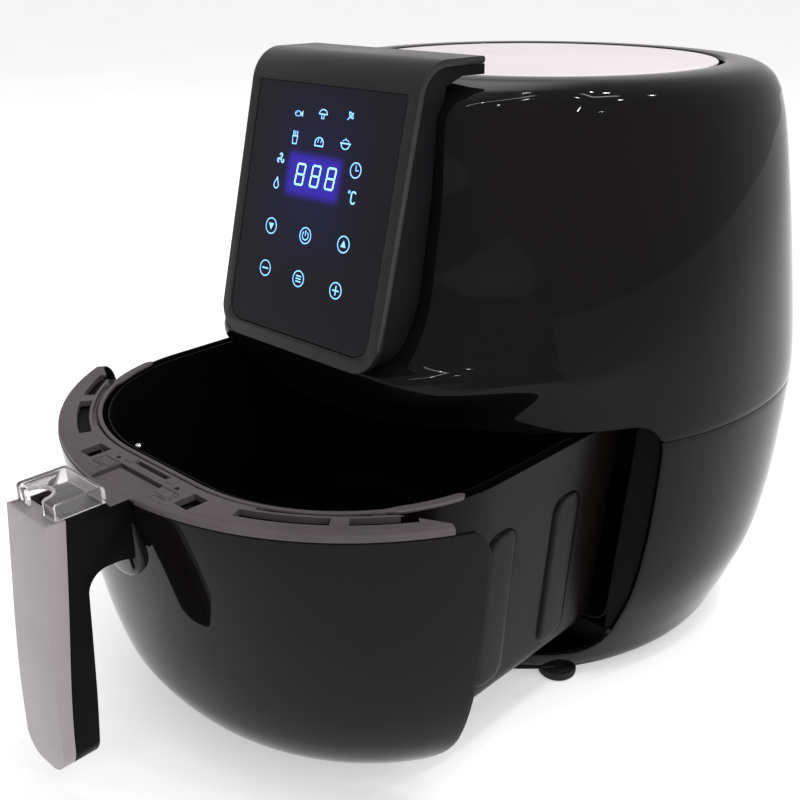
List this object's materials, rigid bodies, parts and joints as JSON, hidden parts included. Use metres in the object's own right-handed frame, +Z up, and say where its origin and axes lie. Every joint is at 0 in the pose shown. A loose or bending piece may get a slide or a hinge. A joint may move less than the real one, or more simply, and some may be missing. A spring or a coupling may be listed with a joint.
{
  "type": "air fryer",
  "caption": "Egg-shaped drawer air fryer with a sloping touch panel, a silver top disc, a pull-out pan with a basket, and a handle with a guarded release button.",
  "frame": {"origin": "under the middle of the outer box, on the plane that the feet stand on", "axes": "+Z up, the drawer pulls out towards -Y, and +X is to the right of someone who faces the control panel"},
  "size_m": [0.304, 0.4938, 0.3294],
  "materials": {
    "gloss_black": "gloss",
    "matt_black": "matt",
    "bezel": "satin",
    "silver": "satin, silver paint",
    "white_silver": "satin, silver paint",
    "coated_steel": "dark non-stick coating",
    "bare_steel": "bare",
    "clear": "clear",
    "display_glass": "gloss, dark",
    "rubber": "matt",
    "circuit_board": "satin",
    "motor": "wound copper in a steel can"
  },
  "bodies": {
    "body": {"base_plate": "matt_black", "base_screw_1": "bare_steel", "base_screw_2": "bare_steel", "base_screw_3": "bare_steel", "base_screw_4": "bare_steel", "coil_clip_1": "bare_steel", "coil_clip_2": "bare_steel", "coil_clip_3": "bare_steel", "control_bezel": "bezel", "cord_inlet": "matt_black", "display_board": "circuit_board", "display_glass": "display_glass", "drawer_frame": "matt_black", "exhaust_duct": "bare_steel", "fan_motor": "motor", "foot_front_left": "rubber", "foot_front_right": "rubber", "foot_rear_left": "rubber", "foot_rear_right": "rubber", "guide_rail_left": "matt_black", "guide_rail_right": "matt_black", "heater_dish": "bare_steel", "heating_coil": "bare_steel", "inner_liner": "bare_steel", "lower_housing": "gloss_black", "microswitch": "matt_black", "motor_bracket": "bare_steel", "panel_block": "matt_black", "power_board": "circuit_board", "rear_vent": "matt_black", "temperature_sensor": "bare_steel", "thermal_fuse": "bare_steel", "top_disc": "white_silver", "upper_housing": "gloss_black"},
    "drawer": {"drawer_front": "gloss_black", "slotted_ring": "matt_black", "pan": "coated_steel", "basket": "coated_steel", "basket_bracket": "matt_black", "bracket_rivet_left": "bare_steel", "bracket_rivet_right": "bare_steel", "handle_grip": "matt_black", "handle_cover": "silver", "button_spring": "bare_steel"},
    "release_button": {"release_button": "matt_black"},
    "release_latch": {"release_latch": "silver"},
    "button_guard": {"button_guard": "clear"},
    "fan": {"fan_shaft": "bare_steel", "convection_fan": "bare_steel", "cooling_fan": "matt_black"},
    "switch_plunger": {"switch_plunger": "silver"}
  },
  "joints": [
    {"name": "drawer_slide", "type": "slide", "parent": "body", "child": "drawer", "axis": [0, -1, 0], "range_m": [-0.1306, 0.125]},
    {"name": "release_button_press", "type": "slide", "parent": "drawer", "child": "release_button", "axis": [0, 0, -1], "range_m": [0, 0.003], "stiffness_N_per_m": 300, "springref_m": -0.002, "deforming": ["button_spring"]},
    {"name": "release_latch_slide", "type": "slide", "parent": "drawer", "child": "release_latch", "axis": [0, -1, 0], "range_m": [0, 0.003]},
    {"name": "button_guard_slide", "type": "slide", "parent": "drawer", "child": "button_guard", "axis": [0, 1, 0], "range_m": [0, 0.019]},
    {"name": "fan_spin", "type": "hinge", "parent": "body", "child": "fan", "pos_m": [0, 0.07615, 0.215], "axis": [0, 0, 1], "continuous": true},
    {"name": "switch_plunger_press", "type": "slide", "parent": "body", "child": "switch_plunger", "axis": [0, 1, 0], "range_m": [0, 0.0025], "stiffness_N_per_m": 200, "springref_m": -0.002}
  ],
  "couplings": [
    {"joint": "release_latch_slide", "follows": "release_button_press", "ratio": 1}
  ]
}
